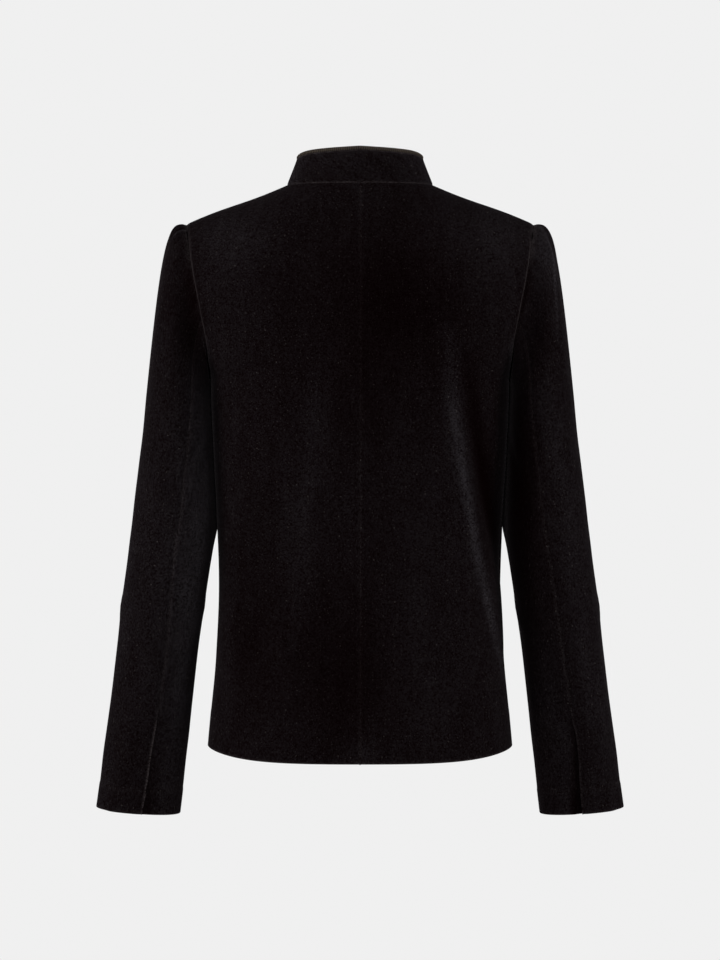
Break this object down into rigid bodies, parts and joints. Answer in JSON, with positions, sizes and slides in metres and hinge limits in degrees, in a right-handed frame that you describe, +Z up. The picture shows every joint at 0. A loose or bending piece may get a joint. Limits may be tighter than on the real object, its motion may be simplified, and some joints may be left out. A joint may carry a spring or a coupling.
{
  "type": "stand collar blazer",
  "caption": "Hollow worn-shape velvet blazer with a stand collar, centre-back seam, pleated sleeve heads and vented two-piece sleeves.",
  "frame": {"origin": "middle of the body at the height of the shoulder points, where the wearer's shoulders hold the garment up", "axes": "+Z up, front towards -Y, +X towards the wearer's left"},
  "size_m": [0.5672, 0.2414, 0.7053],
  "materials": {
    "velvet": "matte pile with a soft sheen",
    "edging": "ribbed cord with a slight gloss",
    "button": "satin"
  },
  "bodies": {
    "root": {"back_left": "velvet", "back_right": "velvet", "front_left": "velvet", "front_right": "velvet", "upper_sleeve_left": "velvet", "upper_sleeve_right": "velvet", "under_sleeve_left": "velvet", "under_sleeve_right": "velvet", "collar": "velvet", "collar_edging": "edging", "button_1": "button", "button_2": "button", "button_3": "button", "button_4": "button", "button_5": "button"}
  },
  "joints": []
}
